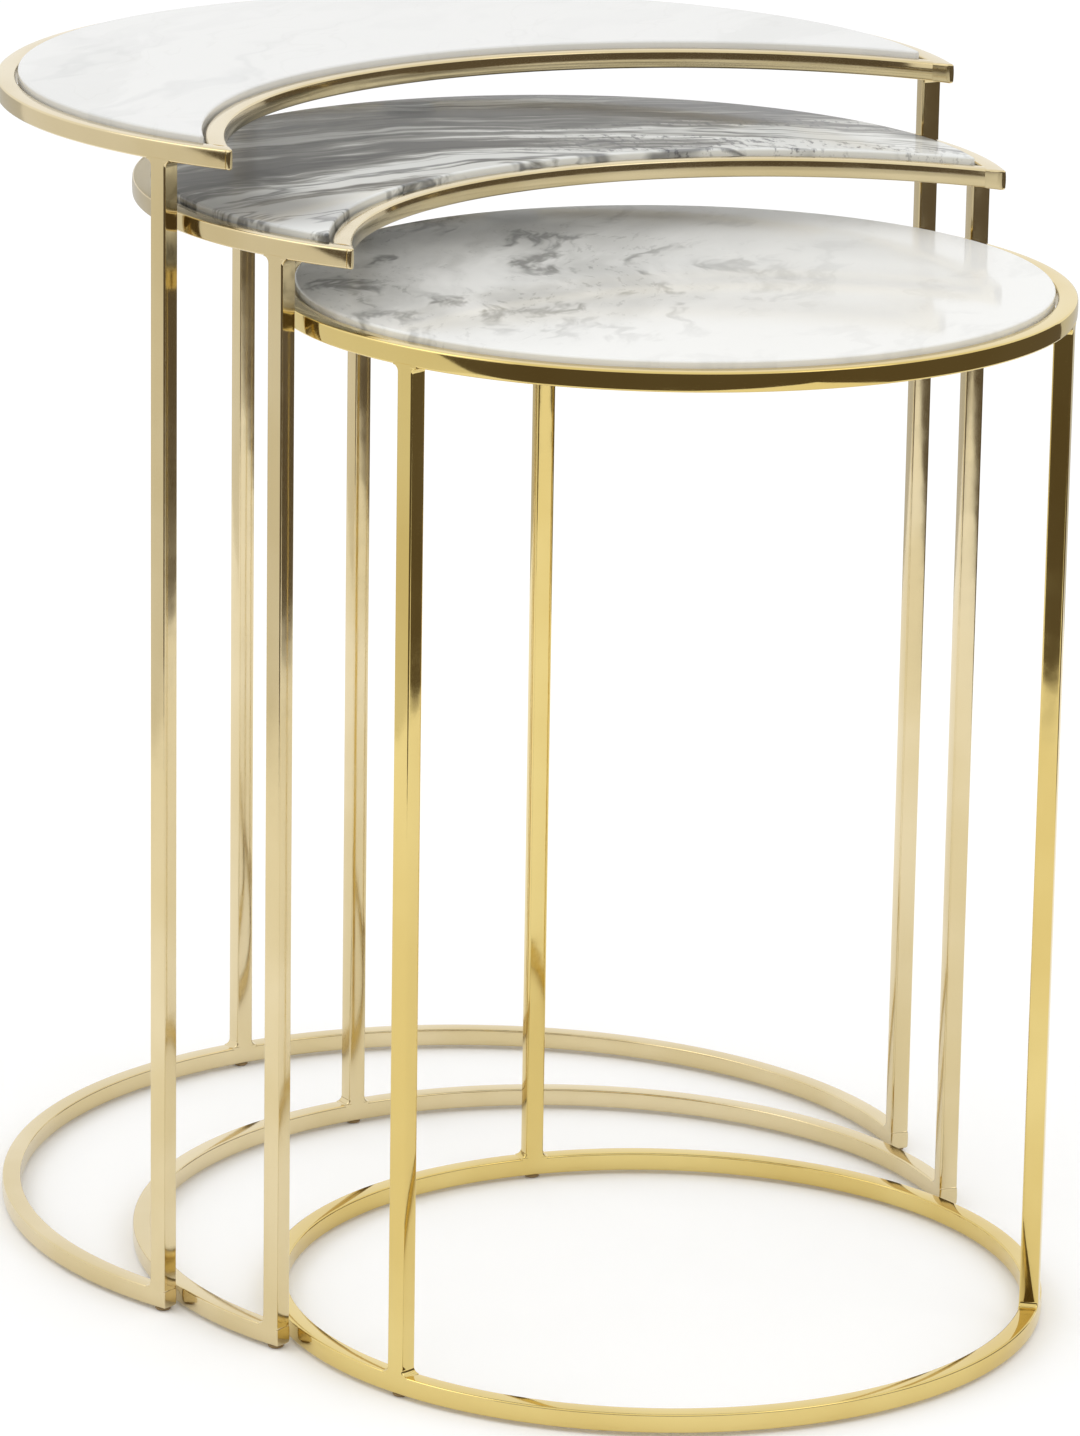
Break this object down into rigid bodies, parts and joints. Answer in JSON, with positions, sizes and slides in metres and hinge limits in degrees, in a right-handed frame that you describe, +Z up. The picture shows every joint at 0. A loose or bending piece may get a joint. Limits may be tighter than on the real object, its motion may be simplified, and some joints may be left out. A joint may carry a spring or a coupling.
{
  "type": "nesting tables",
  "caption": "Nest of side tables: gold square-bar frames with marble tops, two crescent tops stepping down to a full round one, each sliding out from under the next.",
  "frame": {"origin": "on the floor, at the middle of the footprint of the whole nest as it stands at rest", "axes": "+Z up; -Y is the way the lower tables slide out; +X to the right seen from in front; all three table centres lie on X = 0"},
  "size_m": [0.495, 0.63, 0.602],
  "materials": {
    "champagne_brass": "satin",
    "yellow_brass": "polished",
    "white_marble": "polished",
    "grey_marble": "polished",
    "veined_marble": "polished",
    "tab_steel": "satin",
    "clear_pad": "gloss",
    "brown_glide": "satin"
  },
  "bodies": {
    "large_table": {"large_marble_top": "white_marble", "large_outer_rim": "champagne_brass", "large_inner_rim": "champagne_brass", "large_base_arc": "champagne_brass", "large_left_leg": "champagne_brass", "large_right_leg": "champagne_brass", "large_back_leg": "champagne_brass", "large_support_tabs": "tab_steel", "large_slab_pads": "clear_pad", "large_floor_glides": "brown_glide"},
    "medium_table": {"medium_marble_top": "grey_marble", "medium_outer_rim": "champagne_brass", "medium_inner_rim": "champagne_brass", "medium_base_arc": "champagne_brass", "medium_left_leg": "champagne_brass", "medium_right_leg": "champagne_brass", "medium_back_leg": "champagne_brass", "medium_support_tabs": "tab_steel", "medium_slab_pads": "clear_pad", "medium_floor_glides": "brown_glide"},
    "small_table": {"small_marble_top": "veined_marble", "small_rim": "yellow_brass", "small_base_ring": "yellow_brass", "small_left_leg": "yellow_brass", "small_right_leg": "yellow_brass", "small_back_leg": "yellow_brass", "small_support_tabs": "tab_steel", "small_slab_pads": "clear_pad", "small_floor_glides": "brown_glide"}
  },
  "joints": [
    {"name": "medium_slide", "type": "slide", "parent": "large_table", "child": "medium_table", "axis": [0, -1, 0], "range_m": [-0.07, 0.3]},
    {"name": "small_slide", "type": "slide", "parent": "medium_table", "child": "small_table", "axis": [0, -1, 0], "range_m": [-0.082, 0.3]}
  ]
}
